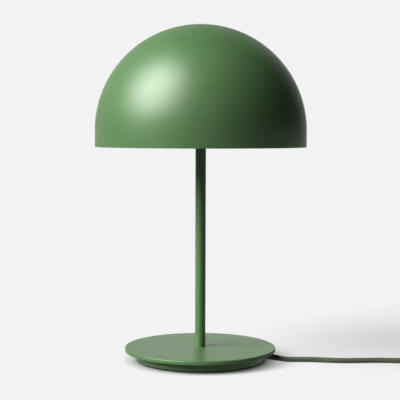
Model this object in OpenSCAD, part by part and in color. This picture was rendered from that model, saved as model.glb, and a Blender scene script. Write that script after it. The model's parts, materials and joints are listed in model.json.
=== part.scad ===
// Dome table lamp: a weighted round foot, a thin stem, an E27 lampholder and a
// dome shade on a three-armed carrier, with a covered cord, an in-line rocker
// switch and a flat two-pin plug. Millimetres, +Z up. The origin is the centre
// of the foot's resting face, and the cord leaves the foot towards +X.

/* [Shade] */
// Outer diameter of the dome
shade_d = 281; // [275:2:291]
// Height of the straight skirt below the hemisphere
skirt_h = 21.5; // [19.5:1:29.5]
// Wall of the spun dome
shade_wall = 1.2; // [1.0:0.1:1.5]
// Height of the rim above the surface that the lamp stands on
rim_z = 286; // [270:2:340]

/* [Foot] */
// Diameter of the top plate
plate_d = 202; // [196:2:240]
// Thickness of the top plate
plate_t = 5; // [4:0.5:8]
// Diameter of the weight under the plate
weight_d = 170; // [168:1:174]
// Height of the weight
weight_h = 11; // [10:0.5:14]
// Thickness of the soft pad
pad_t = 2; // [2:0.5:3]

/* [Stem] */
// Outer diameter of the stem tube
stem_d = 14; // [14:0.5:18]

/* [Bulb] */
// Diameter of the bulb's globe
globe_d = 60; // [55:1:64]
// Length of the bulb from its contact to its crown
bulb_len = 105; // [100:1:108]

/* [Cord] */
// Diameter of the covered cord
cord_d = 7; // [6.4:0.2:7]
// Diameter across the middle of the coil's turns
coil_d = 84; // [80:1:84]

/* [Switch] */
// Length of the switch body without its cord sleeves
switch_len = 52; // [50:1:54]
// Width of the switch body
switch_w = 24; // [22:1:26]
// Height of the switch body
switch_h = 17; // [16:0.5:18]

/* [Hidden] */
$fn = 96;

GREEN = [0.24, 0.42, 0.22];
DARK_GREEN = [0.10, 0.16, 0.09];
ZINC = [0.72, 0.73, 0.74];
BRASS = [0.80, 0.65, 0.30];
BLACK = [0.06, 0.06, 0.06];
WHITE = [0.92, 0.92, 0.90];

gap = 0.05;             // running or assembly clearance between nested round parts
eps = 0.5;              // how far a cutting shape runs past what it cuts

// Foot
weight_z = pad_t;
weight_top = weight_z + weight_h;
foot_top = weight_top + plate_t;
plate_r = plate_d / 2;
weight_r = weight_d / 2;
cover_r = weight_r - 3;
cover_t = 1.2;
cover_top = weight_z + cover_t;
roof_t = 2;             // metal left between the cavity and the plate
cavity_r = 32;
cavity_top = weight_top - roof_t;
nipple_r = 5;           // M10 x 1
nipple_bore_r = 3.75;
hole_r = nipple_r + 0.1;
washer_t = 1;
lock_t = 0.6;
nut_t = 2.6;
nut_af = 14;            // across the flats
nut_z = cavity_top - washer_t - lock_t - nut_t;
cover_screw_r = 62;     // pitch radius of the cover's screws

// Cord outlet
outlet_angle = -7;      // direction in which the cord leaves, about Z
outlet_z = 7.5;
cord_r = cord_d / 2;
sheath_r = 3.1;         // inner sheath, without its covering
bush_wall_r = 4.1;      // the bush where it passes the weight's wall
bush_r = 4.3;           // the bush just outside the wall
bush_tip_r = 3.8;
bush_len = 20;          // tapered nose of the bush
bush_bend_x = weight_r + 1;
bush_dip = 8;           // the nose hangs down by this much
flange_x = weight_r - 9;
flange_w = 12;
flange_top = cavity_top + 0.6;
cover_end_x = flange_x - 2;    // the cord keeps its covering as far in as this
wall_in_x = weight_r - 6;
clamp_x = 54;
clamp_w = 8;
clamp_l = 26;
clamp_screw_y = 9;
screw_r = 1.5;          // shank of the screws under the foot
screw_hole_r = 1.55;
cover_screw_len = 8;
clamp_screw_len = 7;
sheath_end_x = 30;

// Stem and lampholder
stem_r = stem_d / 2;
stem_bore_r = nipple_r + gap;
stem_top = rim_z + 6;
nipple_grip = 18;       // how far a nipple reaches into the stem
cap_z = stem_top;
cap_boss_r = 8.5;
cap_boss_h = 7;
cap_h = 20;
grub_z = cap_z + 4;
sleeve_z = cap_z + cap_h;
sleeve_h = 38;
sleeve_top = sleeve_z + sleeve_h;
sleeve_root_r = 18.6;
sleeve_crest_r = 19.8;
thread_pitch = 2.5;
insert_r = 16.4;
insert_depth = 22;      // height of the insert's skirt above its seat
insert_z = cap_z + 13;
seat_z = insert_z + 11;
terminal_y = 10;
terminal_w = 5;
terminal_h = 3;
skirt_in_r = 14.1;
shell_in_r = 13.5;
shell_t = 0.5;
ring_t = 5;
ring_r = 28;
carrier_t = 1.5;
carrier_r = 32.5;
carrier_z = sleeve_z + 12;

// Bulb
bulb_tip_z = seat_z + 2.6;
bulb_top = bulb_tip_z + bulb_len;
globe_r = globe_d / 2;
globe_z = bulb_top - globe_r;
neck_r = 14.2;
neck_z = bulb_tip_z + 24;
neck_fillet = 40;
glass_t = 0.8;
bulb_pitch = 3.63;      // E27 thread

// Shade
shade_r = shade_d / 2;
dome_z = rim_z + skirt_h;
wall_in_r = shade_r - shade_wall;
tab_r = shade_r - 4;    // outer face of each carrier tab
tab_t = 1.5;
arm_w = 14;
weld_len = 3;           // how far each arm lies on the ring
stud_r = 2;
stud_z = rim_z + 12;
ARM_ANGLES = [60, 180, 300];

// In-line switch
switch_x = 318;         // centre of the switch body
switch_y = -21;
switch_axis_z = 8;      // height of the cord's axis through the switch
sleeve_len = 5;         // cord sleeve at each end of the switch
switch_wall = 1.8;
pivot_z = 12.4;
rocker_half = 9.4;
rocker_w = 10.4;
cord_stop = 8;          // how far the cord reaches into each end of the switch
switch_end_t = 8;       // solid stretch at each end of the shells
switch_round = 7;
switch_screw_x = 21.5;
switch_screw_y = 7.6;
switch_screw_r = 1.25;
switch_head_r = 2.4;
switch_head_z = 0.8;
switch_head_h = 2.2;
cheek_t = 2;            // lugs inside the cover that hold the rocker's pin
cheek_w = 6;
cheek_y = rocker_w / 2 + 0.3;
pin_rod_r = 1;
rocker_tilt = 6;        // the rocker stands tilted this much either way

// Cord route: hand-set points of the free stretches
ROUTE_TO_SWITCH = [
    [105, -12.9, 4.7], [109, -13.4, 4.2], [113, -13.8, 3.8], [118, -14.2, 3.55],
    [124, -14.4, 3.5], [132, -14.4, 3.5], [140, -14.4, 3.5], [150, -15.1, 3.5],
    [160, -16.8, 3.5], [170, -19, 3.5], [180, -20.6, 3.5], [192, -21.4, 3.5],
    [206, -20.8, 3.5], [220, -19.7, 3.5], [234, -19, 3.5], [246, -19.2, 3.5],
    [256, -19.9, 3.5], [262, -20.4, 3.5], [267, -20.7, 4], [272, -20.9, 5.1],
    [277, -21, 6.4], [282, -21, 7.5], [287, -21, 8], [298, -21, 8]
];
ROUTE_TO_COIL = [
    [338, -21, 8], [349, -21, 8], [353, -21, 7.9], [362, -19.8, 7.4],
    [370.5, -16.3, 6.5], [377.8, -10.7, 5.5], [383.3, -3.5, 4.5], [386.8, 5, 3.8],
    [388, 14, 3.5], [388, 24, 3.5], [388, 34, 3.5]
];
ROUTE_TAIL = [
    [388, 56, 10.5], [388, 62, 10.4], [388, 67, 10.1], [388, 72, 9.5],
    [388, 77, 8.6], [388, 82, 7.7], [388, 87, 7.15], [388, 92, 7], [388, 102, 7]
];
coil_x = 339;
coil_y = 48;
coil_bundle_w = 3 * cord_d;
coil_bundle_h = 2 * cord_d;
coil_mid_r = coil_d / 2;
tie_w = 12;
tie_t = 1.2;
tie_slack = 0.2;

// Plug
plug_x = 388;
plug_y = 93;            // where the cord enters the plug's sleeve
plug_z = 7;             // height of the pins' centres
plug_sleeve_len = 14;
plug_taper_len = 16;
plug_head_len = 14;
plug_w = 35;
plug_h = 13.8;
plug_len = plug_sleeve_len + plug_taper_len + plug_head_len;
plug_bore_len = 10;
pin_pitch = 19;
pin_r = 2;
pin_core_r = 1.4;
pin_sleeve_r = 1.75;
pin_len = 19;
pin_sleeve_len = 10;
pin_root = 8;           // how far the pins reach into the plug

// ---------- helpers ----------

// Half section of a disc with rounded outer edges, for rotate_extrude
module disc_section(inner_r, outer_r, z0, z1, top_round, bottom_round) {
    translate([inner_r, z0])
        square([outer_r - max(top_round, bottom_round) - inner_r, z1 - z0]);
    translate([inner_r, z0 + bottom_round])
        square([outer_r - inner_r, z1 - z0 - top_round - bottom_round]);
    translate([outer_r - top_round, z1 - top_round])
        circle(r = top_round);
    translate([outer_r - bottom_round, z0 + bottom_round])
        circle(r = bottom_round);
}

// Tube or rod about Z
module tube(outer_r, inner_r, z0, z1) {
    difference() {
        translate([0, 0, z0])
            cylinder(r = outer_r, h = z1 - z0);
        if (inner_r > 0)
            translate([0, 0, z0 - eps])
                cylinder(r = inner_r, h = z1 - z0 + 2 * eps);
    }
}

// Rod along X from x0 to x1, at height z
module rod_x(r, x0, x1, z, y = 0) {
    translate([x0, y, z])
        rotate([0, 90, 0])
            cylinder(r = r, h = x1 - x0);
}

// Profile points of a thread drawn as plain ridges, from z0 upwards
function ridges(root_r, crest_r, z0, turns, pitch) = [
    for (i = [0 : turns - 1]) each [
        [root_r, z0 + i * pitch], [crest_r, z0 + (i + 0.35) * pitch],
        [crest_r, z0 + (i + 0.65) * pitch]],
    [root_r, z0 + turns * pitch]];

// Countersunk screw: head face at z, pointing up
module countersunk_screw(r, head_r, head_h, length, z) {
    translate([0, 0, z])
        cylinder(r1 = head_r, r2 = r, h = head_h);
    translate([0, 0, z + head_h])
        cylinder(r = r, h = length - head_h);
}

module slab(l, w, z0, z1, r) {
    translate([-l / 2 + r, -w / 2, z0])
        cube([l - 2 * r, w, z1 - z0]);
    translate([-l / 2, -w / 2 + r, z0])
        cube([l, w - 2 * r, z1 - z0]);
    for (sx = [-1, 1], sy = [-1, 1])
        translate([sx * (l / 2 - r), sy * (w / 2 - r), z0])
            cylinder(r = r, h = z1 - z0);
}

function unit(v) = v / norm(v);
function tangent(p, i) = unit(p[min(i + 1, len(p) - 1)] - p[max(i - 1, 0)]);
function ring_at(c, t, up, r, sides) =
    let (s = unit(cross(up, t)), u = cross(t, s))
    [for (k = [0 : sides - 1]) let (a = 360 * k / sides) c + r * (cos(a) * s + sin(a) * u)];

// Round tube swept along the points of path; up is never along the path
module swept(path, r, up = [0, 0, 1], sides = 10) {
    n = len(path);
    rings = [for (i = [0 : n - 1]) each ring_at(path[i], tangent(path, i), up, r, sides)];
    walls = [for (i = [0 : n - 2], k = [0 : sides - 1])
        let (a = i * sides + k, b = i * sides + (k + 1) % sides)
        [a, a + sides, b + sides, b]];
    start_cap = [[for (k = [0 : sides - 1]) k]];
    end_cap = [[for (k = [sides - 1 : -1 : 0]) (n - 1) * sides + k]];
    polyhedron(points = rings, faces = concat(walls, start_cap, end_cap), convexity = 10);
}

// ---------- foot ----------

module base_pad() {
    color(BLACK)
        rotate_extrude()
            disc_section(0, weight_r - 0.6, 0, pad_t, 0.3, 0.3);
}

module base_cover() {
    color(ZINC)
        difference() {
            tube(cover_r - 0.2, 0, weight_z, cover_top);
            for (a = ARM_ANGLES)
                rotate([0, 0, a])
                    translate([cover_screw_r, 0, weight_z - 0.01])
                        cylinder(r1 = 3.0, r2 = 1.8, h = cover_t + 0.02);
        }
}

module base_cover_screws() {
    color(ZINC)
        for (a = ARM_ANGLES)
            rotate([0, 0, a])
                translate([cover_screw_r, 0, 0])
                    countersunk_screw(screw_r, 2.8, cover_t, cover_screw_len, weight_z);
}

// Turns its children to the side where the cord leaves
module outlet() {
    rotate([0, 0, outlet_angle])
        children();
}

module base_weight() {
    color(GREEN)
        difference() {
            rotate_extrude()
                disc_section(hole_r, weight_r, weight_z, weight_top, 0.6, 0.8);
            translate([0, 0, weight_z - eps])
                cylinder(r = cover_r, h = cover_t + eps);
            translate([0, 0, weight_z])
                cylinder(r = cavity_r, h = cavity_top - weight_z);
            outlet() {
                cord_channel();
                clamp_pocket();
            }
            for (a = ARM_ANGLES)
                rotate([0, 0, a])
                    translate([cover_screw_r, 0, cover_top - eps])
                        cylinder(r = screw_hole_r, h = cover_screw_len);
        }
}

// Way for the cord from the outlet to the cavity, open below
module cord_channel() {
    half_w = sheath_r + 0.6;
    start_x = cavity_r - 4;
    slot_play = 0.2;
    rod_x(half_w, start_x, flange_x, outlet_z);
    translate([start_x, -half_w, weight_z])
        cube([flange_x - start_x, 2 * half_w, outlet_z - weight_z]);
    translate([cover_end_x, -flange_w / 2 - slot_play, weight_z])
        cube([wall_in_x - cover_end_x, flange_w + 2 * slot_play, flange_top + 0.4 - weight_z]);
    rod_x(bush_wall_r + gap, wall_in_x - 1, weight_r + eps, outlet_z);
}

module clamp_pocket() {
    translate([clamp_x - clamp_w / 2 - 0.2, -clamp_l / 2 - 0.2, weight_z])
        cube([clamp_w + 0.4, clamp_l + 0.4, cover_t + 1.1]);
    for (s = [-1, 1])
        translate([clamp_x, s * clamp_screw_y, cover_top])
            cylinder(r = screw_hole_r, h = clamp_screw_len + 0.3);
}

module base_plate() {
    color(GREEN)
        rotate_extrude()
            disc_section(hole_r, plate_r, weight_top, foot_top, 1.3, 0.6);
}

module base_washer() {
    color(ZINC)
        tube(11, hole_r, cavity_top - washer_t, cavity_top);
}

module base_lock_washer() {
    z0 = cavity_top - washer_t - lock_t;
    color(ZINC)
        difference() {
            union() {
                tube(7.6, 0, z0, z0 + lock_t);
                for (i = [0 : 11])
                    rotate([0, 0, 30 * i])
                        translate([7, -0.9, z0])
                            cube([2, 1.8, lock_t]);
            }
            translate([0, 0, z0 - eps])
                cylinder(r = hole_r, h = lock_t + 2 * eps);
        }
}

module base_nut() {
    color(BRASS)
        difference() {
            translate([0, 0, nut_z])
                cylinder(r = nut_af / 2 / cos(30), h = nut_t, $fn = 6);
            translate([0, 0, nut_z - eps])
                cylinder(r = nipple_r + gap, h = nut_t + 2 * eps);
        }
}

module lower_nipple() {
    color(ZINC)
        tube(nipple_r, nipple_bore_r, nut_z + 0.2, foot_top + nipple_grip);
}

// Rod of radius r in the bush: straight from x0, then hanging down with the nose
module outlet_rod(r, x0, nose_len) {
    rod_x(r, x0, bush_bend_x, outlet_z);
    translate([bush_bend_x, 0, outlet_z]) {
        sphere(r = r);
        rotate([0, 90 + bush_dip, 0])
            cylinder(r = r, h = nose_len);
    }
}

module cord_bush() {
    wall_x = weight_r + gap;
    color(BLACK)
        outlet()
            difference() {
                union() {
                    translate([flange_x, -flange_w / 2, cover_top + 0.1])
                        cube([wall_in_x - flange_x, flange_w, flange_top - cover_top - 0.1]);
                    rod_x(bush_wall_r, wall_in_x, wall_x, outlet_z);
                    rod_x(bush_r, wall_x, bush_bend_x + 0.6, outlet_z);
                    translate([bush_bend_x, 0, outlet_z])
                        rotate([0, 90 + bush_dip, 0])
                            cylinder(r1 = bush_r, r2 = bush_tip_r, h = bush_len);
                }
                outlet_rod(cord_r + gap, flange_x - eps, bush_len + eps);
            }
}

module cord_clamp() {
    color(ZINC)
        outlet()
            difference() {
                translate([clamp_x - clamp_w / 2, -clamp_l / 2, cover_top + 0.05])
                    cube([clamp_w, clamp_l, 0.95]);
                for (s = [-1, 1])
                    translate([clamp_x, s * clamp_screw_y, cover_top - eps])
                        cylinder(r1 = 3.1, r2 = screw_hole_r, h = 1 + 2 * eps);
            }
}

module cord_clamp_screws() {
    color(ZINC)
        outlet()
            for (s = [-1, 1])
                translate([clamp_x, s * clamp_screw_y, 0])
                    countersunk_screw(screw_r, 2.2, 0.9, clamp_screw_len, cover_top + 0.1);
}

// The stretch of cord held in the foot: covered as far as the bush, then its inner sheath
module cord_inside() {
    color(GREEN)
        outlet() {
            outlet_rod(cord_r, cover_end_x, bush_len);
            rod_x(sheath_r, sheath_end_x, cover_end_x, outlet_z);
        }
}

// One insulated conductor, from the sheath, up the stem, to a lampholder terminal
module conductor(side, colour) {
    top = cap_z + 11;
    route = [
        [sheath_end_x - 0.2, side * 1.5, outlet_z], [25, side * 1.6, 6.9], [20, side * 1.7, 5.4],
        [15, side * 1.6, 4.6], [9, side * 1.4, 4.4], [5, side * 1.3, 4.4], [3.3, side * 1.25, 4.8],
        [2.2, side * 1.25, 6], [1.2, side * 1.25, 8.5], [0.6, side * 1.25, 13], [0, side * 1.25, 25],
        [0, side * 1.25, (foot_top + stem_top) / 2], [0, side * 1.25, cap_z + 2],
        [0, side * 1.25, top - 3], [0, side * 1.9, top - 1.4], [0, side * 3.2, top - 0.3],
        [0, side * 5, top], [0, side * (terminal_y - terminal_w / 2), top]
    ];
    color(colour)
        outlet()
            swept(route, 1.0, up = [0.3, 1, 0.05], sides = 8);
}

module live_wire() {
    conductor(1, [0.35, 0.20, 0.10]);
}

module neutral_wire() {
    conductor(-1, [0.10, 0.25, 0.60]);
}

// ---------- stem and lampholder ----------

module stem() {
    color(GREEN)
        tube(stem_r, stem_bore_r, foot_top, stem_top);
}

module upper_nipple() {
    color(ZINC)
        tube(nipple_r, nipple_bore_r, stem_top - nipple_grip, cap_z + cap_boss_h);
}

// Bell-shaped cap; the insert rests on the ledge inside it
module holder_cap() {
    boss_z = cap_z + cap_boss_h;
    bell_r = sleeve_root_r - 10;
    floor_z = boss_z + 1.8;
    floor_r = insert_r - 1 - cap_boss_r;
    bore_r = sleeve_root_r - 2;
    color(WHITE)
        difference() {
            rotate_extrude()
                polygon([
                    [nipple_r + gap, cap_z], [cap_boss_r - 0.6, cap_z], [cap_boss_r, cap_z + 0.6],
                    [cap_boss_r, boss_z - 1], [10, boss_z],
                    for (a = [0 : 15 : 90]) [10 + bell_r * sin(a), boss_z + 6 * (1 - cos(a))],
                    [sleeve_root_r, sleeve_z], [bore_r, sleeve_z],
                    [bore_r, insert_z],
                    for (a = [90 : -15 : 0])
                        [cap_boss_r + floor_r * sin(a), floor_z + (insert_z - floor_z) * (1 - cos(a))],
                    [nipple_r + gap, floor_z]
                ]);
            rod_x(screw_hole_r, nipple_r, cap_boss_r + eps, grub_z);
        }
}

module holder_grub_screw() {
    color(ZINC)
        rod_x(screw_r, nipple_r + 0.02, cap_boss_r - 0.2, grub_z);
}

// Threaded sleeve with a rounded lip turned in over the insert
module holder_sleeve() {
    bore_r = insert_r + 0.2;
    mouth_r = neck_r + 0.5;
    lip_round = 1.2;
    lip_t = 2;
    color(WHITE)
        rotate_extrude()
            polygon(concat(
                [[bore_r, sleeve_z], [sleeve_root_r, sleeve_z]],
                ridges(sleeve_root_r, sleeve_crest_r, sleeve_z + 2, 12, thread_pitch),
                [for (a = [0 : 15 : 90]) [sleeve_root_r - lip_round * (1 - cos(a)),
                    sleeve_top - lip_round * (1 - sin(a))]],
                [[mouth_r, sleeve_top], [mouth_r, sleeve_top - lip_t], [bore_r, sleeve_top - lip_t]]
            ));
}

module holder_insert() {
    color(WHITE) {
        outlet()
            difference() {
                tube(insert_r, 0, insert_z, seat_z);
                for (s = [-1, 1])
                    translate([0, s * terminal_y, insert_z - eps])
                        cylinder(r = 1.2, h = 6);
            }
        tube(insert_r, skirt_in_r, seat_z, seat_z + insert_depth);
    }
}

module holder_screw_shell() {
    color(BRASS)
        tube(shell_in_r + shell_t, shell_in_r, seat_z, seat_z + insert_depth - 1);
}

// Bent strip that presses on the bulb's contact
module holder_centre_contact() {
    strip_w = 5;
    strip_t = 0.5;
    strip_len = 9;
    tongue_len = 7;
    rise = 1.3;
    color(BRASS)
        translate([0, -strip_w / 2, seat_z]) {
            translate([-strip_len, 0, 0])
                cube([strip_len, strip_w, strip_t]);
            translate([-1, 0, strip_t])
                cube([1, strip_w, rise]);
            translate([-tongue_len / 2, 0, strip_t + rise])
                cube([tongue_len, strip_w, strip_t]);
        }
}

module holder_terminals() {
    color(BRASS)
        outlet()
            for (s = [-1, 1])
                translate([-terminal_w / 2, s * terminal_y - terminal_w / 2, insert_z - terminal_h])
                    cube([terminal_w, terminal_w, terminal_h]);
}

module holder_terminal_screws() {
    color(ZINC)
        outlet()
            for (s = [-1, 1])
                rod_x(1.4, terminal_w / 2, terminal_w / 2 + 1.8, insert_z - 1.6, s * terminal_y);
}

// Knurled ring that screws down the lampholder's sleeve
module shade_ring(z0) {
    color(WHITE)
        difference() {
            union() {
                rotate_extrude()
                    disc_section(sleeve_crest_r + 0.1, ring_r, z0, z0 + ring_t, 0.6, 0.6);
                for (i = [0 : 11])
                    rotate([0, 0, 30 * i])
                        translate([ring_r - 0.5, 0, z0 + 0.8])
                            cylinder(r = 1.3, h = ring_t - 1.6, $fn = 24);
            }
            translate([0, 0, z0 - eps])
                cylinder(r = sleeve_crest_r + 0.1, h = ring_t + 2 * eps);
        }
}

module shade_ring_lower() {
    shade_ring(carrier_z - ring_t);
}

module shade_ring_upper() {
    shade_ring(carrier_z + carrier_t);
}

// ---------- shade ----------

// Flat ring clamped between the two shade rings
module carrier_ring() {
    color(WHITE)
        tube(carrier_r, sleeve_crest_r + 0.5, carrier_z, carrier_z + carrier_t);
}

// Bent strip, welded on top of the ring, from there down to its tab, drawn in the XZ plane
module carrier_arm() {
    start_x = carrier_r - weld_len;
    arm_z = carrier_z + carrier_t;
    bend_x = tab_r - 24;
    drop_z = stud_z + 8;
    tab_z = stud_z - 7;
    slant = 0.6;
    difference() {
        rotate([90, 0, 0])
            linear_extrude(height = arm_w, center = true)
                polygon([
                    [start_x, arm_z], [bend_x, arm_z],
                    [tab_r - tab_t, drop_z], [tab_r - tab_t, tab_z], [tab_r, tab_z],
                    [tab_r, drop_z + slant], [bend_x + slant, arm_z + tab_t],
                    [start_x, arm_z + tab_t]
                ]);
        rod_x(stud_r + 0.2, tab_r - tab_t - eps, tab_r + eps, stud_z);
    }
}

module carrier_arms() {
    color(WHITE)
        for (a = ARM_ANGLES)
            rotate([0, 0, a])
                carrier_arm();
}

module shade_studs() {
    color(ZINC)
        for (a = ARM_ANGLES)
            rotate([0, 0, a]) {
                rod_x(4, tab_r, wall_in_r - 0.08, stud_z);
                rod_x(stud_r, tab_r - 9, tab_r, stud_z);
            }
}

module stud_nuts() {
    nut_h = 4;
    color(ZINC)
        for (a = ARM_ANGLES)
            rotate([0, 0, a])
                difference() {
                    translate([tab_r - tab_t - nut_h, 0, stud_z])
                        rotate([0, 90, 0])
                            cylinder(r = 3.5 / cos(30), h = nut_h, $fn = 6);
                    rod_x(stud_r + gap, tab_r - tab_t - nut_h - eps, tab_r, stud_z);
                }
}

// Half section of the dome: skirt, quarter circle and a rounded rim
module dome_section(r) {
    intersection() {
        translate([0, dome_z])
            circle(r = r, $fn = 180);
        translate([0, dome_z])
            square([r, r]);
    }
}

module shade() {
    rim_round = shade_wall / 2;
    color(GREEN)
        rotate_extrude($fn = 180) {
            difference() {
                dome_section(shade_r);
                dome_section(wall_in_r);
            }
            translate([wall_in_r, rim_z + rim_round])
                square([shade_wall, skirt_h - rim_round]);
            translate([shade_r - rim_round, rim_z + rim_round])
                circle(r = rim_round);
        }
}

// ---------- bulb ----------

// Half section of the bulb's envelope, grown inwards by t
module envelope_section(t) {
    fillet_x = neck_r + neck_fillet;
    fillet_z = globe_z - sqrt(pow(globe_r + neck_fillet, 2) - pow(fillet_x, 2));
    share = globe_r / (globe_r + neck_fillet);
    meet_x = fillet_x * share;
    meet_z = globe_z - (globe_z - fillet_z) * share;
    intersection() {
        union() {
            translate([0, globe_z])
                circle(r = globe_r - t);
            difference() {
                polygon([
                    [0, neck_z + t], [neck_r - t, neck_z + t], [neck_r - t, fillet_z],
                    [fillet_x, fillet_z], [meet_x, meet_z], [0, meet_z]
                ]);
                translate([fillet_x, fillet_z])
                    circle(r = neck_fillet + t);
            }
        }
        translate([0, neck_z])
            square([globe_d, bulb_len]);
    }
}

module bulb_glass() {
    color([0.96, 0.95, 0.92])
        rotate_extrude()
            difference() {
                envelope_section(0);
                envelope_section(glass_t);
            }
}

module bulb_cap() {
    cap_crest_r = 13.2;
    cap_bore_r = 11.7;
    color(ZINC)
        rotate_extrude()
            polygon(concat(
                [[cap_bore_r, bulb_tip_z + 5]],
                ridges(cap_crest_r - 1, cap_crest_r, bulb_tip_z + 5, 5, bulb_pitch),
                [[cap_crest_r, neck_z - 0.6], [cap_crest_r, neck_z], [cap_bore_r, neck_z]]
            ));
}

module bulb_insulator() {
    color(BLACK)
        translate([0, 0, bulb_tip_z + 1.2])
            difference() {
                cylinder(r1 = 6.5, r2 = 12, h = 3.8);
                translate([0, 0, -eps])
                    cylinder(r = 4.6, h = 2);
            }
}

module bulb_contact() {
    color(ZINC)
        translate([0, 0, bulb_tip_z])
            cylinder(r1 = 3.6, r2 = 4.5, h = 2.6);
}

// ---------- cord, switch and plug ----------

module cord_to_switch() {
    color(GREEN)
        swept(ROUTE_TO_SWITCH, cord_r, sides = 10);
}

module cord_to_coil() {
    color(GREEN)
        swept(ROUTE_TO_COIL, cord_r, sides = 10);
}

module cord_tail() {
    color(GREEN)
        swept(ROUTE_TAIL, cord_r, sides = 10);
}

module cord_coil() {
    color(GREEN)
        translate([coil_x, coil_y, 0])
            rotate_extrude()
                translate([coil_mid_r - coil_bundle_w / 2, 0])
                    square([coil_bundle_w, coil_bundle_h]);
}

module cord_tie() {
    inner_w = coil_bundle_w + 4 * tie_slack;
    inner_h = coil_bundle_h + tie_slack;
    color(BLACK)
        translate([coil_x - coil_mid_r, coil_y, 0])
            difference() {
                slab(inner_w + 2 * tie_t, tie_w, 0, inner_h + 2 * tie_t, 0.4);
                translate([-inner_w / 2, -tie_w, tie_t])
                    cube([inner_w, 2 * tie_w, inner_h]);
            }
}

// Cord passage along the switch, cut from both shells
module switch_cord_cut() {
    rod_x(cord_r + gap, -switch_len, -switch_len / 2 + cord_stop, switch_axis_z);
    rod_x(cord_r + gap, switch_len / 2 - cord_stop, switch_len, switch_axis_z);
}

// Outer shape of the switch between two heights, with its cord sleeves
module switch_block(z0, z1) {
    intersection() {
        union() {
            slab(switch_len, switch_w, 0, switch_h, switch_round);
            for (s = [-1, 1])
                translate([s * (switch_len / 2 - 2), 0, switch_axis_z])
                    rotate([0, s * 90, 0])
                        cylinder(r1 = 6, r2 = 5, h = sleeve_len + 2);
        }
        translate([-switch_len, -switch_w, z0])
            cube([2 * switch_len, 2 * switch_w, z1 - z0]);
    }
}

// Hollow between the switch's solid ends, cut from both shells
module switch_hollow(z0, z1) {
    slab(switch_len - 2 * switch_end_t, switch_w - 2 * switch_wall, z0, z1, 4);
}

// Puts its children where the two screws are, at opposite corners
module switch_screw_places() {
    for (s = [-1, 1])
        translate([s * switch_screw_x, s * switch_screw_y, 0])
            children();
}

module switch_base() {
    color(BLACK)
        translate([switch_x, switch_y, 0])
            difference() {
                switch_block(0, switch_axis_z);
                switch_hollow(switch_wall, switch_axis_z + eps);
                switch_cord_cut();
                switch_screw_places()
                    translate([0, 0, -eps]) {
                        cylinder(r = switch_screw_r + 0.1, h = switch_axis_z + 2 * eps);
                        cylinder(r = switch_head_r + 0.2, h = switch_head_z + switch_head_h + eps + 0.05);
                    }
            }
}

module switch_cover() {
    window_l = 2 * rocker_half + 2.2;
    window_w = rocker_w + 0.6;
    color(BLACK)
        translate([switch_x, switch_y, 0])
            difference() {
                switch_block(switch_axis_z, switch_h);
                switch_hollow(switch_axis_z - eps, switch_h - switch_wall);
                switch_cord_cut();
                translate([-window_l / 2, -window_w / 2, switch_axis_z])
                    cube([window_l, window_w, switch_h]);
                switch_screw_places()
                    translate([0, 0, switch_axis_z - eps])
                        cylinder(r = switch_screw_r + 0.1, h = 5 + eps);
            }
    color(BLACK)
        translate([switch_x, switch_y, 0])
            for (s = [-1, 1])
                difference() {
                    translate([-cheek_w / 2, s * (cheek_y + cheek_t / 2) - cheek_t / 2, pivot_z - 3])
                        cube([cheek_w, cheek_t, switch_h - switch_wall - pivot_z + 3]);
                    translate([0, s * (cheek_y + cheek_t / 2) - cheek_t, pivot_z])
                        rotate([-90, 0, 0])
                            cylinder(r = pin_rod_r + gap, h = 2 * cheek_t);
                }
}

module switch_rocker() {
    color(DARK_GREEN)
        translate([switch_x, switch_y, pivot_z])
            rotate([0, -rocker_tilt, 0])
                difference() {
                    rotate([90, 0, 0])
                        linear_extrude(height = rocker_w, center = true)
                            polygon([
                                [-rocker_half, 2.4], [-4, -2.4], [4, -2.4], [rocker_half, 2.4],
                                [rocker_half, 5.6], [5, 4.7], [0, 4.3], [-5, 4.7], [-rocker_half, 5.6]
                            ]);
                    rotate([-90, 0, 0])
                        translate([0, 0, -rocker_w])
                            cylinder(r = pin_rod_r + gap, h = 2 * rocker_w);
                }
}

module switch_rocker_pin() {
    color(ZINC)
        translate([switch_x, switch_y - cheek_y - cheek_t, pivot_z])
            rotate([-90, 0, 0])
                cylinder(r = pin_rod_r, h = 2 * (cheek_y + cheek_t));
}

module switch_contacts() {
    color(BRASS)
        translate([switch_x, switch_y, 0])
            for (s = [-1, 1]) {
                translate([s * 11 - 5, -4, switch_wall])
                    cube([10, 8, 1]);
                translate([s * 11 - 1, -2, switch_wall + 1])
                    cube([2, 4, 3]);
            }
}

module switch_screws() {
    color(ZINC)
        translate([switch_x, switch_y, 0])
            switch_screw_places() {
                translate([0, 0, switch_head_z])
                    cylinder(r = switch_head_r, h = switch_head_h);
                translate([0, 0, switch_head_z + switch_head_h])
                    cylinder(r = switch_screw_r, h = 9.5);
            }
}

// Plug outline across its pins: flat top and bottom, slanted sides
module plug_section(w, h) {
    polygon([
        [-w / 2, -h / 6], [-w / 2 + h / 2, -h / 2], [w / 2 - h / 2, -h / 2], [w / 2, -h / 6],
        [w / 2, h / 6], [w / 2 - h / 2, h / 2], [-w / 2 + h / 2, h / 2], [-w / 2, h / 6]
    ]);
}

// Puts a rod drawn along Z into the plug, pointing along +Y from distance y
module along_plug(y, x = 0) {
    translate([plug_x + x, plug_y + y, plug_z])
        rotate([-90, 0, 0])
            children();
}

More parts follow.
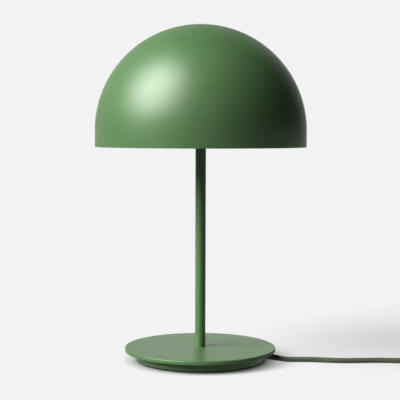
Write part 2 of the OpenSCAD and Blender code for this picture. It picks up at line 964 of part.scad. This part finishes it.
module plug_body() {
    head_y = plug_sleeve_len + plug_taper_len;
    color(BLACK)
        difference() {
            union() {
                along_plug(head_y)
                    linear_extrude(height = plug_head_len)
                        plug_section(plug_w, plug_h);
                hull() {
                    along_plug(head_y)
                        linear_extrude(height = 0.5)
                            plug_section(plug_w, plug_h);
                    along_plug(plug_sleeve_len - 2)
                        cylinder(r = 5.6, h = 2, $fn = 32);
                }
                along_plug(0)
                    cylinder(r1 = 4.3, r2 = 5.6, h = plug_sleeve_len);
            }
            along_plug(-eps)
                cylinder(r = cord_r + gap, h = plug_bore_len + eps);
            for (s = [-1, 1])
                along_plug(plug_len - pin_root - 1, s * pin_pitch / 2)
                    cylinder(r = pin_sleeve_r + gap, h = pin_root + 1 + eps);
        }
}

module plug_pins() {
    tip = 1;
    bare_y = plug_len + pin_sleeve_len;
    color(ZINC)
        for (s = [-1, 1]) {
            along_plug(plug_len - pin_root, s * pin_pitch / 2)
                cylinder(r = pin_core_r, h = pin_root + pin_sleeve_len + eps);
            along_plug(bare_y, s * pin_pitch / 2)
                cylinder(r = pin_r, h = pin_len - pin_sleeve_len - tip);
            along_plug(plug_len + pin_len - tip, s * pin_pitch / 2)
                cylinder(r1 = pin_r, r2 = pin_r - 0.8, h = tip);
        }
}

module plug_pin_sleeves() {
    color(BLACK)
        for (s = [-1, 1])
            along_plug(plug_len - pin_root, s * pin_pitch / 2)
                tube(pin_sleeve_r, pin_core_r + gap, 0, pin_root + pin_sleeve_len);
}

base_pad();
base_cover();
base_cover_screws();
base_weight();
base_plate();
base_washer();
base_lock_washer();
base_nut();
lower_nipple();
cord_bush();
cord_clamp();
cord_clamp_screws();
cord_inside();
live_wire();
neutral_wire();
stem();
upper_nipple();
holder_cap();
holder_grub_screw();
holder_sleeve();
holder_insert();
holder_screw_shell();
holder_centre_contact();
holder_terminals();
holder_terminal_screws();
shade_ring_lower();
shade_ring_upper();
carrier_ring();
carrier_arms();
shade_studs();
stud_nuts();
shade();
bulb_glass();
bulb_cap();
bulb_insulator();
bulb_contact();
cord_to_switch();
switch_base();
switch_cover();
switch_rocker();
switch_rocker_pin();
switch_contacts();
switch_screws();
cord_to_coil();
cord_coil();
cord_tail();
cord_tie();
plug_body();
plug_pins();
plug_pin_sleeves();
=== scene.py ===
"""Dome table lamp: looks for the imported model. Metres, in the frame of the CAD model."""

import json
import math
import bpy
from mathutils import Euler, Matrix, Vector


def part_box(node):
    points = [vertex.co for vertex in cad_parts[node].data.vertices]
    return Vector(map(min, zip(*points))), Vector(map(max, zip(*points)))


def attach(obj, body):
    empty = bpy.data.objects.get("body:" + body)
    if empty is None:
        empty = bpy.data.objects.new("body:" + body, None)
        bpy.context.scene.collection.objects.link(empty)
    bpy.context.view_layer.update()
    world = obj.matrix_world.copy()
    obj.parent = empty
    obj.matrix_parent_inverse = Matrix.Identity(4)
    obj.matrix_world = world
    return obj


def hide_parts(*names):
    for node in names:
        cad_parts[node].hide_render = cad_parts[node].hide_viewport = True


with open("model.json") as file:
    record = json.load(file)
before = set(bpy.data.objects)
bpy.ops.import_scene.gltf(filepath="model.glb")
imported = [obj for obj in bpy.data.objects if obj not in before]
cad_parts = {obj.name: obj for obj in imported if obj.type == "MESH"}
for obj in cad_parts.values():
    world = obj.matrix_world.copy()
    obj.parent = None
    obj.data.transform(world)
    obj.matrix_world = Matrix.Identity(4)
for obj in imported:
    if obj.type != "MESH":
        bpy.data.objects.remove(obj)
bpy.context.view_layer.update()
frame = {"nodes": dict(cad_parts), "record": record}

BODY = "lamp"
UP = Vector((0, 0, 1))

# ---------- sizes, from the frame ----------

SHADE_LOW, SHADE_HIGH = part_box("shade")
PLATE_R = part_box("base_plate")[1].x

SHADE_R = SHADE_HIGH.x
SHADE_WALL = 0.0012
RIM_Z = SHADE_LOW.z
DOME_Z = SHADE_HIGH.z - SHADE_R

CORD_D = 0.007
CORD_R = CORD_D / 2


# ---------- camera ----------

CAMERA_AT = (-0.0008, -1.4932, 0.3075)
CAMERA_LENS = 100.8
CAMERA_DOWN = 3.535  # degrees below level
CAMERA_ROLL = 0.166  # degrees


def make_camera():
    """The photograph's view: from -Y, a little above the rim, with a long lens."""
    data = bpy.data.cameras.new("camera")
    data.sensor_width = 36
    data.lens = CAMERA_LENS
    data.clip_end = 50
    camera = bpy.data.objects.new("camera", data)
    camera.location = CAMERA_AT
    look = Euler((math.radians(90 - CAMERA_DOWN), 0, 0)).to_matrix().to_4x4()
    roll = Matrix.Rotation(math.radians(CAMERA_ROLL), 4, "Z")
    camera.matrix_world = Matrix.Translation(camera.location) @ look @ roll
    bpy.context.collection.objects.link(camera)
    bpy.context.scene.camera = camera


make_camera()


# ---------- mesh helpers ----------

CURVE_STEP = 0.0005  # between the points that a curve is measured on
RING_STEP = 0.002  # between the rings of a cord's mesh


def new_mesh(name, points, faces, materials=(), face_slots=None, smooth=True):
    mesh = bpy.data.meshes.new(name)
    mesh.from_pydata([tuple(p) for p in points], [], faces)
    for material in materials:
        mesh.materials.append(material)
    if face_slots:
        mesh.polygons.foreach_set("material_index", face_slots)
    mesh.polygons.foreach_set("use_smooth", [smooth] * len(mesh.polygons))
    mesh.update()
    piece = bpy.data.objects.new(name, mesh)
    bpy.context.collection.objects.link(piece)
    return piece


def smooth_path(points):
    """Catmull-Rom curve through the points, as evenly spaced points."""
    points = [Vector(p) for p in points]
    ends = [2 * points[0] - points[1], *points, 2 * points[-1] - points[-2]]
    fine = []
    for a, b, c, d in zip(ends, ends[1:], ends[2:], ends[3:]):
        steps = max(2, round((c - b).length / CURVE_STEP))
        for i in range(steps):
            t = i / steps
            fine.append(0.5 * ((2 * b) + (c - a) * t + (2 * a - 5 * b + 4 * c - d) * t * t
                               + (3 * b - 3 * c + d - a) * t ** 3))
    fine.append(points[-1])
    return even_path(fine)


def even_path(fine):
    """Points RING_STEP apart, or nearly so, on a finer path."""
    lengths = [0.0]
    for a, b in zip(fine, fine[1:]):
        lengths.append(lengths[-1] + (b - a).length)
    count = max(2, round(lengths[-1] / RING_STEP))
    even = []
    at = 0
    for i in range(count + 1):
        target = lengths[-1] * i / count
        while at < len(fine) - 2 and lengths[at + 1] < target:
            at += 1
        share = (target - lengths[at]) / max(1e-9, lengths[at + 1] - lengths[at])
        even.append(fine[at].lerp(fine[at + 1], min(1.0, share)))
    return even


def path_length(path):
    return sum((b - a).length for a, b in zip(path, path[1:]))


def tube(name, path, radius, sides=16):
    """Mesh tube along a path, closed at both ends, with a UV map whose unit is the girth."""
    points, faces, rings = [], [], len(path)
    for i, centre in enumerate(path):
        along = (path[min(i + 1, rings - 1)] - path[max(i - 1, 0)]).normalized()
        side = UP.cross(along).normalized()
        over = along.cross(side)
        for k in range(sides):
            turn = 2 * math.pi * k / sides
            points.append(centre + radius * (math.cos(turn) * side + math.sin(turn) * over))
    for i in range(rings - 1):
        for k in range(sides):
            a, b = i * sides + k, i * sides + (k + 1) % sides
            faces.append((a, b, b + sides, a + sides))
    faces.append(tuple(range(sides - 1, -1, -1)))
    faces.append(tuple(range((rings - 1) * sides, rings * sides)))
    piece = new_mesh(name, points, faces)
    piece.data.polygons[-1].use_smooth = False
    piece.data.polygons[-2].use_smooth = False
    uv = piece.data.uv_layers.new(name="UVMap").data
    step = path_length(path) / (rings - 1) / (2 * math.pi * radius)
    for face in piece.data.polygons[:(rings - 1) * sides]:
        i, k = divmod(face.index, sides)
        corners = ((k, i), (k + 1, i), (k + 1, i + 1), (k, i + 1))
        for loop, (u, v) in zip(face.loop_indices, corners):
            uv[loop].uv = (u / sides, v * step)
    return piece


# ---------- cords ----------

# The routes' points, as the CAD model has them, in millimetres
ROUTE_TO_SWITCH = [
    (105, -12.9, 4.7), (109, -13.4, 4.2), (113, -13.8, 3.8), (118, -14.2, 3.55),
    (124, -14.4, 3.5), (132, -14.4, 3.5), (140, -14.4, 3.5), (150, -15.1, 3.5),
    (160, -16.8, 3.5), (170, -19, 3.5), (180, -20.6, 3.5), (192, -21.4, 3.5),
    (206, -20.8, 3.5), (220, -19.7, 3.5), (234, -19, 3.5), (246, -19.2, 3.5),
    (256, -19.9, 3.5), (262, -20.4, 3.5), (267, -20.7, 4), (272, -20.9, 5.1),
    (277, -21, 6.4), (282, -21, 7.5), (287, -21, 8), (298, -21, 8),
]
ROUTE_TO_COIL = [
    (338, -21, 8), (349, -21, 8), (353, -21, 7.9), (362, -19.8, 7.4),
    (370.5, -16.3, 6.5), (377.8, -10.7, 5.5), (383.3, -3.5, 4.5), (386.8, 5, 3.8),
    (388, 14, 3.5), (388, 24, 3.5), (388, 34, 3.5),
]
ROUTE_TAIL = [
    (388, 56, 10.5), (388, 62, 10.4), (388, 67, 10.1), (388, 72, 9.5),
    (388, 77, 8.6), (388, 82, 7.7), (388, 87, 7.15), (388, 92, 7), (388, 102, 7),
]
COIL_CENTRE = (339, 48)
COIL_OUTER_R = 49
COIL_TURNS = 5
COIL_POINT_EVERY = 6  # degrees
LAYERS_Z = (3.5, 10.5)

# Angles along the coil, in degrees, at which the cord starts to step over by its own thickness
STEPS_IN = (260, 620)
STEPS_OUT = (1140, 1500)
STEP_LONG = 100
CLIMB = (880, 980)  # from the lower layer to the upper one

# The cord is a little higher where the tie goes round it
TIE_LIFT = 1.2
TIE_ANGLE = 180
TIE_SPREAD = 16


def metres(route):
    return [Vector(p) / 1000 for p in route]


def eased(angle, start, end):
    """0 before start, 1 after end, with a smooth change between."""
    t = min(1.0, max(0.0, (angle - start) / (end - start)))
    return t * t * t * (t * (6 * t - 15) + 10)


def coil_points():
    """Five turns: in on the lower layer, up at the inside, out on the upper layer."""
    pitch = CORD_D * 1000
    points = []
    for angle in range(0, 360 * COIL_TURNS + 1, COIL_POINT_EVERY):
        radius = COIL_OUTER_R
        for start in STEPS_IN:
            radius -= pitch * eased(angle, start, start + STEP_LONG)
        for start in STEPS_OUT:
            radius += pitch * eased(angle, start, start + STEP_LONG)
        low, high = LAYERS_Z
        height = low + (high - low) * eased(angle, *CLIMB)
        from_tie = (angle % 360 - TIE_ANGLE) / TIE_SPREAD
        height += TIE_LIFT * math.exp(-from_tie * from_tie)
        turn = math.radians(angle)
        points.append((COIL_CENTRE[0] + radius * math.cos(turn),
                       COIL_CENTRE[1] + radius * math.sin(turn), height))
    return points


def make_cords():
    """The covered flex in two lengths: foot to switch, and switch to plug by way of the coil."""
    first_path = smooth_path(metres(ROUTE_TO_SWITCH))
    first = tube("flex_to_switch", first_path, CORD_R)
    second_path = smooth_path(metres(ROUTE_TO_COIL + coil_points() + ROUTE_TAIL))
    second = tube("flex_to_plug", second_path, CORD_R)
    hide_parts("cord_to_switch")
    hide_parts("cord_to_coil", "cord_coil", "cord_tail")
    for piece in (first, second):
        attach(piece, BODY)
    return first, second


flexes = make_cords()


# ---------- material helpers ----------

class Shader:
    """A node material with one Principled shader, and short ways to add textures to it."""

    def __init__(self, name, **sockets):
        self.material = bpy.data.materials.new(name)
        self.material.use_nodes = True
        self.tree = self.material.node_tree
        self.bsdf = self.tree.nodes["Principled BSDF"]
        for socket, value in sockets.items():
            self.bsdf.inputs[socket.replace("_", " ")].default_value = value

    def node(self, kind, links=None, **settings):
        made = self.tree.nodes.new(kind)
        for key, value in settings.items():
            setattr(made, key, value)
        for socket, value in (links or {}).items():
            self.feed(made.inputs[socket], value)
        return made

    def feed(self, socket, value):
        if isinstance(value, bpy.types.NodeSocket):
            self.tree.links.new(value, socket)
        else:
            socket.default_value = value

    def place(self, scale=(1, 1, 1)):
        """Object coordinates, stretched, so that every texture has its real size."""
        coords = self.node("ShaderNodeTexCoord").outputs["Object"]
        return self.node("ShaderNodeMapping", {"Vector": coords, "Scale": scale}).outputs["Vector"]

    def noise(self, scale, detail=3.0, rough=0.55, where=None):
        where = where or self.place()
        made = self.node("ShaderNodeTexNoise",
                         {"Vector": where, "Scale": scale, "Detail": detail, "Roughness": rough})
        return made.outputs["Fac"]

    def math(self, operation, a, b=0.0):
        return self.node("ShaderNodeMath", {0: a, 1: b}, operation=operation).outputs[0]

    def span(self, value, low, high, start=0.3, end=0.7):
        """Maps start to end onto low to high; 0.3 to 0.7 is what a noise mostly gives."""
        links = {"Value": value, "From Min": start, "From Max": end, "To Min": low, "To Max": high}
        return self.node("ShaderNodeMapRange", links).outputs["Result"]

    def blend(self, share, colour_a, colour_b):
        made = self.node("ShaderNodeMix", data_type="RGBA")
        self.feed(made.inputs["Factor"], share)
        self.feed(made.inputs["A"], colour_a)
        self.feed(made.inputs["B"], colour_b)
        return made.outputs["Result"]

    def colour(self, socket):
        self.feed(self.bsdf.inputs["Base Color"], socket)

    def roughness(self, socket):
        self.feed(self.bsdf.inputs["Roughness"], socket)

    def bump(self, height, depth, strength=1.0):
        links = {"Height": height, "Distance": depth, "Strength": strength}
        made = self.node("ShaderNodeBump", links)
        self.feed(self.bsdf.inputs["Normal"], made.outputs["Normal"])


def rgba(r, g, b):
    return (r, g, b, 1.0)


def tinted(colour, factor):
    return rgba(*(min(1.0, c * factor) for c in colour[:3]))


# ---------- materials ----------

def powder_coat(name, colour, rough=0.40):
    """Satin powder coat: fine orange peel, faint mottling and a few dull patches."""
    shader = Shader(name, IOR=1.5)
    mottling = shader.noise(35, 4)
    dull, bright = tinted(colour, 0.965), tinted(colour, 1.03)
    shader.colour(shader.blend(shader.span(mottling, 0, 1), dull, bright))
    shader.roughness(shader.span(shader.noise(22, 5), rough - 0.025, rough + 0.035))
    peel = shader.noise(650, 2, 0.5)
    grain = shader.noise(3200, 1, 0.5)
    shader.bump(shader.math("ADD", peel, shader.math("MULTIPLY", grain, 0.35)), 0.00003)
    return shader.material


def metal(name, colour, rough, brush=(1, 1, 1)):
    """Plated or bare metal with fine drawing lines and slight tarnish."""
    shader = Shader(name, Metallic=1.0)
    tarnish = shader.span(shader.noise(60, 4), 0, 1)
    shader.colour(shader.blend(tarnish, tinted(colour, 0.9), tinted(colour, 1.05)))
    lines = shader.noise(900, 3, 0.6, shader.place(brush))
    shader.roughness(shader.span(lines, rough - 0.08, rough + 0.1))
    shader.bump(lines, 0.00001)
    return shader.material


def plastic(name, colour, rough, grain_scale=1500, grain_depth=0.00002):
    """Moulded plastic with an eroded grain."""
    shader = Shader(name, IOR=1.49)
    cloud = shader.span(shader.noise(45, 3), 0, 1)
    shader.colour(shader.blend(cloud, tinted(colour, 0.95), tinted(colour, 1.05)))
    grain = shader.noise(grain_scale, 2, 0.6)
    shader.roughness(shader.span(grain, rough - 0.05, rough + 0.06))
    shader.bump(grain, grain_depth)
    return shader.material


def rubber(name, colour):
    """Dull rubber with a pale bloom."""
    shader = Shader(name, IOR=1.52)
    bloom = shader.span(shader.noise(80, 5, 0.65), 0, 1)
    shader.colour(shader.blend(bloom, tinted(colour, 0.8), tinted(colour, 1.5)))
    shader.roughness(shader.span(shader.noise(300, 3), 0.58, 0.75))
    shader.bump(shader.noise(2200, 2), 0.000015)
    return shader.material


def felt(name, colour):
    """Pressed fibres in loose clumps."""
    shader = Shader(name, Roughness=0.95, Sheen_Weight=0.3, Sheen_Roughness=0.5)
    fibres = shader.noise(2600, 6, 0.75)
    clumps = shader.noise(260, 4, 0.6)
    shader.colour(shader.blend(shader.span(fibres, 0, 1), tinted(colour, 0.5), tinted(colour, 1.8)))
    shader.bump(shader.math("ADD", fibres, shader.math("MULTIPLY", clumps, 0.6)), 0.00035)
    return shader.material


def opal_glass(name):
    """Milky glass with a smooth outside."""
    shader = Shader(name, Roughness=0.14, IOR=1.5, Subsurface_Weight=0.35,
                    Subsurface_Radius=(0.004, 0.004, 0.004), Coat_Weight=0.3, Coat_Roughness=0.05)
    haze = shader.span(shader.noise(30, 3), 0, 1)
    shader.colour(shader.blend(haze, rgba(0.84, 0.83, 0.80), rgba(0.88, 0.87, 0.84)))
    shader.bump(shader.noise(60, 2), 0.00004)
    return shader.material


STRANDS = 14


def braided_textile(name, dark, light):
    """Two sets of yarns that cross over and under, laid out on the tube's own UV map, with painted
    shade in the grooves between the yarns.
    """
    shader = Shader(name, Roughness=0.88, Sheen_Weight=0.25, Sheen_Roughness=0.4)
    coords = shader.node("ShaderNodeTexCoord").outputs["UV"]
    uv = shader.node("ShaderNodeSeparateXYZ", {"Vector": coords})
    around = shader.math("MULTIPLY", uv.outputs["X"], STRANDS)
    along = shader.math("MULTIPLY", uv.outputs["Y"], STRANDS)
    profiles, indices = [], []
    for operation in ("ADD", "SUBTRACT"):
        crossing = shader.math(operation, around, along)
        part = shader.math("FRACT", crossing)
        flank = shader.math("SUBTRACT", 1.0, part)
        profiles.append(shader.math("MULTIPLY", shader.math("MULTIPLY", part, flank), 4.0))
        indices.append(shader.math("FLOOR", crossing))
    parity = shader.math("FLOORED_MODULO", shader.math("ADD", *indices), 2.0)
    on_top = shader.node("ShaderNodeMix", {"Factor": parity}, data_type="FLOAT")
    shader.feed(on_top.inputs["A"], profiles[0])
    shader.feed(on_top.inputs["B"], profiles[1])
    height = on_top.outputs["Result"]
    fluff = shader.noise(3500, 4, 0.7)
    # Colour follows the yarns' height: painted shade in the grooves and lighter tops, plus random
    # fluff tone
    groove_shade_and_fluff = shader.math("MULTIPLY", shader.math("ADD", height, fluff), 0.5)
    shader.colour(shader.blend(shader.span(groove_shade_and_fluff, 0, 1, 0.15, 0.8), dark, light))
    shader.bump(shader.math("ADD", height, shader.math("MULTIPLY", fluff, 0.5)), 0.00022)
    return shader.material


GREEN = rgba(0.090, 0.200, 0.068)
WHITE = rgba(0.78, 0.77, 0.74)

MATERIALS = {
    "green_paint": powder_coat("green_paint", GREEN),
    "white_paint": powder_coat("white_paint", WHITE, 0.5),
    "zinc_steel": metal("zinc_steel", rgba(0.56, 0.57, 0.58), 0.36),
    "nickel": metal("nickel", rgba(0.70, 0.68, 0.65), 0.20, (1, 0.1, 1)),
    "brass": metal("brass", rgba(0.72, 0.53, 0.24), 0.28),
    "felt": felt("felt", rgba(0.030, 0.034, 0.030)),
    "black_rubber": rubber("black_rubber", rgba(0.016, 0.017, 0.016)),
    "black_plastic": plastic("black_plastic", rgba(0.022, 0.023, 0.022), 0.48),
    "white_plastic": plastic("white_plastic", WHITE, 0.36, 900, 0.00001),
    # The darker green is the painted shade between the yarns, the lighter one the yarn tops
    "green_textile": braided_textile("green_textile", rgba(0.030, 0.055, 0.024),
                                     rgba(0.115, 0.165, 0.090)),
    "brown_insulation": plastic("brown_insulation", rgba(0.11, 0.045, 0.018), 0.42),
    "blue_insulation": plastic("blue_insulation", rgba(0.018, 0.065, 0.27), 0.42),
    "opal_glass": opal_glass("opal_glass"),
}


# ---------- turned pieces ----------

def arc(centre_r, centre_z, radius, start, end, steps):
    """Points of an arc in a half section, angles from the +r direction."""
    points = []
    for i in range(steps + 1):
        turn = math.radians(start + (end - start) * i / steps)
        points.append((centre_r + radius * math.cos(turn), centre_z + radius * math.sin(turn)))
    return points


def lathe(name, section, materials, slots, segments):
    """Turns a half section about Z; slots holds the material index of each of its stretches."""
    points, faces, face_slots, rows = [], [], [], []
    for r, z in section:
        if r < 1e-6:
            rows.append([len(points)] * segments)
            points.append((0, 0, z))
            continue
        rows.append([len(points) + k for k in range(segments)])
        for k in range(segments):
            turn = 2 * math.pi * k / segments
            points.append((r * math.cos(turn), r * math.sin(turn), z))
    for i, (low, high) in enumerate(zip(rows, rows[1:])):
        for k in range(segments):
            j = (k + 1) % segments
            corners = (low[k], low[j], high[j], high[k])
            faces.append(tuple(dict.fromkeys(corners)))
            face_slots.append(slots[i])
    return new_mesh(name, points, faces, materials, face_slots)


SHADE_SEGMENTS = 240
DOME_STEPS = 60
RIM_STEPS = 10


def make_shade():
    """Spun dome with a rounded rim: green outside, white inside."""
    half = SHADE_WALL / 2
    inner_r = SHADE_R - SHADE_WALL
    outside = [(0, DOME_Z + SHADE_R)] + arc(0, DOME_Z, SHADE_R, 89, 0, DOME_STEPS)
    rim = arc(SHADE_R - half, RIM_Z + half, half, 0, -180, RIM_STEPS)
    inside = arc(0, DOME_Z, inner_r, 0, 89, DOME_STEPS) + [(0, DOME_Z + inner_r)]
    section = outside + rim + inside
    turning = len(outside) + len(rim) - 1
    slots = [0 if i < turning else 1 for i in range(len(section) - 1)]
    paints = (MATERIALS["green_paint"], MATERIALS["white_paint"])
    piece = lathe("dome", section[::-1], paints, slots[::-1], SHADE_SEGMENTS)
    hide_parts("shade")
    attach(piece, BODY)


make_shade()


# ---------- the CAD model's own pieces ----------

def node_slots():
    return {part["node"]: part["material_slot"] for part in frame["record"]["subparts"]}


def dress_nodes():
    """Gives each CAD piece its material."""
    for node, slot in node_slots().items():
        piece = frame["nodes"][node]
        piece.data.materials.clear()
        piece.data.materials.append(MATERIALS[slot])


dress_nodes()
for flex in flexes:
    flex.data.materials.append(MATERIALS["green_textile"])


# ---------- stage and light ----------

BACKGROUND = 0.887
FLOOR_GREY = (0.478, 0.482)
# Strength of the floor's painted glow, which stands in for light from all round
FLOOR_PAINTED_GLOW = 0.432
FLOOR_HALF = 12
FLOOR_Z = -0.0002  # clear of the cords and the foot


def grey(value):
    return rgba(value, value, value)


def level_corners(low_x, high_x, low_y, high_y, z):
    return [(low_x, low_y, z), (high_x, low_y, z), (high_x, high_y, z), (low_x, high_y, z)]


def upright_corners(low_x, high_x, y, low_z, high_z):
    return [(low_x, y, low_z), (high_x, y, low_z), (high_x, y, high_z), (low_x, y, high_z)]


def make_floor():
    """Matt pale floor with a painted glow that fades to painted shade under the foot. It takes
    shadows, but adds and blocks no light on the lamp.
    """
    shader = Shader("floor", Roughness=1.0, Specular_IOR_Level=0.0)
    low, high = FLOOR_GREY
    shader.colour(shader.blend(shader.noise(3, 2), grey(low), grey(high)))
    # Painted light: the glow stands in for even light from all round, and it fades out under the
    # foot as painted shade
    where = shader.node("ShaderNodeTexCoord").outputs["Object"]
    reach = shader.node("ShaderNodeVectorMath", {0: where}, operation="LENGTH").outputs["Value"]
    painted_shade_edge, full_painted_glow_from = PLATE_R - 0.016, PLATE_R + 0.004
    glow = shader.span(reach, 0.0, FLOOR_PAINTED_GLOW, painted_shade_edge, full_painted_glow_from)
    shader.feed(shader.bsdf.inputs["Emission Color"], grey(1))
    shader.feed(shader.bsdf.inputs["Emission Strength"], glow)
    corners = level_corners(-FLOOR_HALF, FLOOR_HALF, -FLOOR_HALF, FLOOR_HALF, 0)
    floor = new_mesh("floor", corners, [(0, 1, 2, 3)], (shader.material,), smooth=False)
    floor.location.z = FLOOR_Z
    floor.visible_diffuse = False
    floor.visible_glossy = False
    floor.visible_shadow = False


def make_world():
    """Pale background beyond the floor; it adds no diffuse or glossy light."""
    world = bpy.data.worlds.new("studio")
    bpy.context.scene.world = world
    world.use_nodes = True
    background = world.node_tree.nodes["Background"]
    background.inputs["Color"].default_value = grey(BACKGROUND)
    world.cycles_visibility.diffuse = False
    world.cycles_visibility.glossy = False


def sun(name, towards, energy, spread, glossy=False):
    """Soft light; towards points from the lamp to the light, spread is its width in degrees."""
    data = bpy.data.lights.new(name, "SUN")
    data.energy = energy
    data.angle = math.radians(spread)
    light = bpy.data.objects.new(name, data)
    light.rotation_euler = Vector(towards).to_track_quat("Z", "Y").to_euler()
    light.visible_glossy = glossy
    bpy.context.collection.objects.link(light)
    return light


def make_lights():
    """A key from the left, a weak fill, light off the table, and a softbox for the gloss only."""
    sun("key", towards=(-0.766, -0.341, 0.545), energy=4.9, spread=38)
    sun("fill", towards=(0, -0.2, 1), energy=0.36, spread=170)
    sun("bounce", towards=(0, 0, -1), energy=0.9, spread=24)
    softbox = sun("softbox", towards=(-0.683, -0.340, 0.646), energy=7.9, spread=50,
                  glossy=True)
    softbox.visible_diffuse = False


def glowing_panel(name, corners, strength):
    """Panel that only reflections see."""
    material = bpy.data.materials.new(name)
    material.use_nodes = True
    tree = material.node_tree
    tree.nodes.remove(tree.nodes["Principled BSDF"])
    emission = tree.nodes.new("ShaderNodeEmission")
    emission.inputs["Color"].default_value = grey(BACKGROUND)
    emission.inputs["Strength"].default_value = strength
    tree.links.new(emission.outputs[0], tree.nodes["Material Output"].inputs["Surface"])
    panel = new_mesh(name, corners, [(0, 1, 2, 3)], (material,), smooth=False)
    panel.visible_diffuse = False
    panel.visible_camera = False
    panel.visible_shadow = False


def make_backdrop():
    """What the paint reflects: a pale wall, brighter low down, and the table around the lamp."""
    wall = upright_corners(low_x=-8, high_x=3.2, y=3.5, low_z=-1.5, high_z=4.5)
    low_wall = upright_corners(low_x=-1.5, high_x=1.5, y=3.45, low_z=0, high_z=1.5)
    table = level_corners(low_x=-4, high_x=4, low_y=-4, high_y=3.4, z=-0.001)
    glowing_panel("wall", wall, strength=0.50)
    glowing_panel("wall_glow", low_wall, strength=1.1)
    glowing_panel("table_glow", table, strength=0.62)


make_floor()
make_world()
make_lights()
make_backdrop()
bpy.context.scene.view_settings.view_transform = "Standard"
